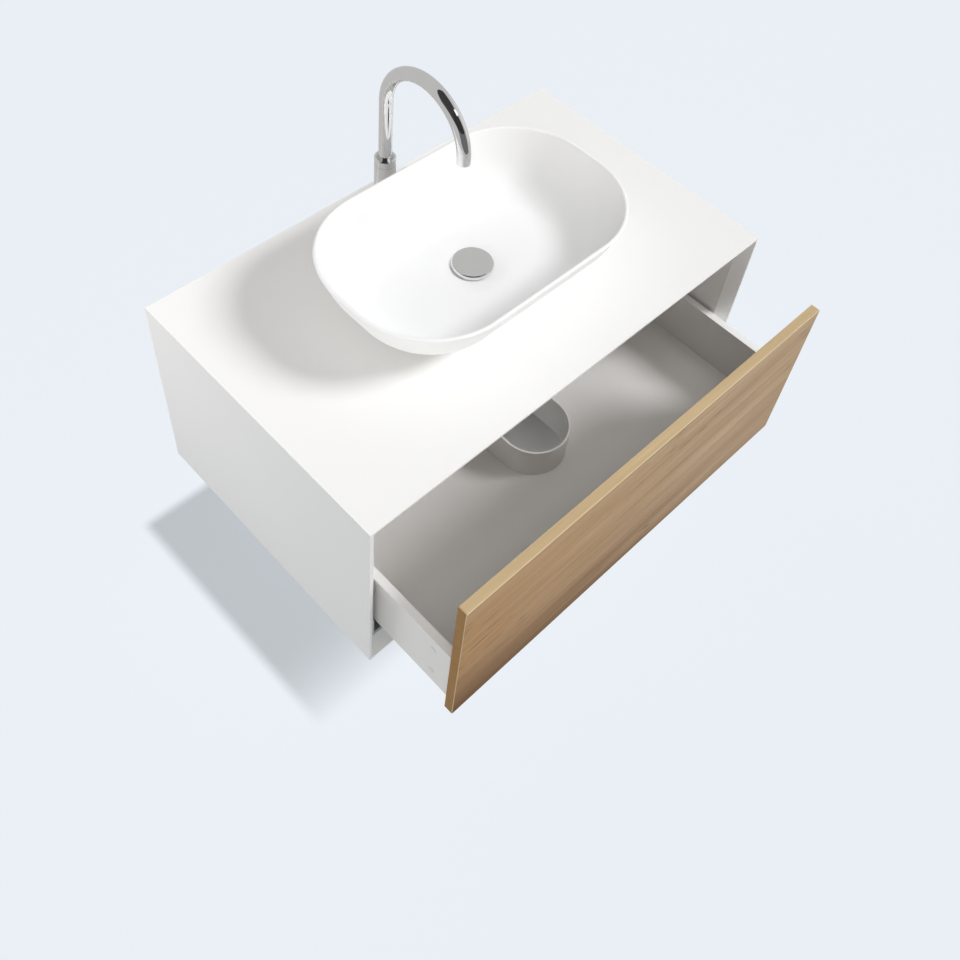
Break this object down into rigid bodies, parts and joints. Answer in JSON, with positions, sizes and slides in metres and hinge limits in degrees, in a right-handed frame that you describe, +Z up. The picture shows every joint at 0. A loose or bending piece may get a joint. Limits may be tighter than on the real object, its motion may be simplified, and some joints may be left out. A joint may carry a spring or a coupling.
{
  "type": "wall-hung vanity unit with basin and tap",
  "caption": "Wall-hung matt-white bathroom vanity with an oak-look drawer, white vessel basin, chrome pop-up waste, bottle trap and chrome gooseneck tap with a side lever.",
  "frame": {"origin": "midway between the two wall bolts, on the wall plane", "axes": "+X to the right of someone who faces the unit, +Y into the wall, +Z up"},
  "size_m": [0.8, 0.661, 0.6442],
  "materials": {
    "white_lacquer": "matt white lacquer on board",
    "drawer_white": "white melamine-faced board",
    "oak": "light oak look, satin",
    "recess_plastic": "smooth pale plastic strip",
    "board_raw": "white-faced board",
    "ceramic_white": "matt white glaze",
    "chrome": "polished chrome",
    "zinc_steel": "zinc-plated steel",
    "brass": "plain brass",
    "black_rubber": "soft black rubber",
    "silicone_white": "white silicone",
    "trap_white": "white moulded plastic",
    "grey_plastic": "grey moulded plastic"
  },
  "bodies": {
    "cabinet": {"counter_top": "white_lacquer", "bottom_panel": "white_lacquer", "left_side_panel": "white_lacquer", "right_side_panel": "white_lacquer", "back_rail_upper": "board_raw", "back_rail_lower": "board_raw", "hanger_bracket_left": "zinc_steel", "hanger_bracket_right": "zinc_steel", "bracket_screws": "zinc_steel", "runner_rail_left": "zinc_steel", "runner_rail_right": "zinc_steel", "runner_screws": "zinc_steel", "basin": "ceramic_white", "basin_sealant": "silicone_white", "flange_seal": "black_rubber", "waste_body": "chrome", "plunger_guide": "grey_plastic", "waste_washer": "black_rubber", "waste_nut": "brass", "coupling_washer": "black_rubber", "trap_inlet_tube": "trap_white", "coupling_nut": "trap_white", "trap_head": "trap_white", "trap_inlet_nut": "trap_white", "trap_cup": "trap_white", "outlet_pipe": "trap_white", "trap_outlet_nut": "trap_white", "wall_flange": "trap_white", "tap_gasket": "black_rubber", "tap_body": "chrome", "tap_shank": "brass", "tap_rubber_washer": "black_rubber", "tap_steel_washer": "zinc_steel", "tap_nut": "brass", "tap_inlet_tails": "zinc_steel", "tap_cartridge": "grey_plastic"},
    "runner_middles": {"runner_middle_left": "zinc_steel", "runner_middle_right": "zinc_steel"},
    "drawer": {"drawer_front": "oak", "drawer_side_left": "drawer_white", "drawer_side_right": "drawer_white", "drawer_back_left": "drawer_white", "drawer_back_right": "drawer_white", "drawer_bottom": "drawer_white", "trap_recess_wall": "recess_plastic", "drawer_cam_locks": "zinc_steel", "drawer_cam_bolts": "zinc_steel", "drawer_back_screws": "zinc_steel", "runner_drawer_member_left": "zinc_steel", "runner_drawer_member_right": "zinc_steel", "runner_clips": "grey_plastic"},
    "waste_plug": {"waste_cap": "chrome", "waste_plunger": "brass"},
    "spout": {"tap_spout": "chrome", "spout_collar": "chrome", "spout_aerator": "grey_plastic"},
    "lever_turn": {"lever_cap": "chrome", "cartridge_stem": "brass", "lever_pivot_pin": "zinc_steel"},
    "lever": {"tap_lever": "chrome"}
  },
  "joints": [
    {"name": "drawer_slide", "type": "slide", "parent": "cabinet", "child": "drawer", "axis": [0, -1, 0], "range_m": [-0.146, 0.204]},
    {"name": "runner_slide", "type": "slide", "parent": "cabinet", "child": "runner_middles", "axis": [0, -1, 0], "range_m": [-0.073, 0.102]},
    {"name": "waste_pop_up", "type": "slide", "parent": "cabinet", "child": "waste_plug", "axis": [0, 0, 1], "range_m": [0, 0.008]},
    {"name": "spout_swivel", "type": "hinge", "parent": "cabinet", "child": "spout", "pos_m": [0, -0.043, 0.147], "axis": [0, 0, 1], "range_deg": [-60, 60]},
    {"name": "lever_mix", "type": "hinge", "parent": "cabinet", "child": "lever_turn", "pos_m": [0.0363, -0.043, 0.0915], "axis": [1, 0, 0], "range_deg": [-45, 45]},
    {"name": "lever_tilt", "type": "hinge", "parent": "lever_turn", "child": "lever", "pos_m": [0.0473, -0.043, 0.0915], "axis": [0, -1, 0], "range_deg": [0, 25]}
  ],
  "couplings": [
    {"joint": "runner_slide", "follows": "drawer_slide", "ratio": 0.5}
  ]
}
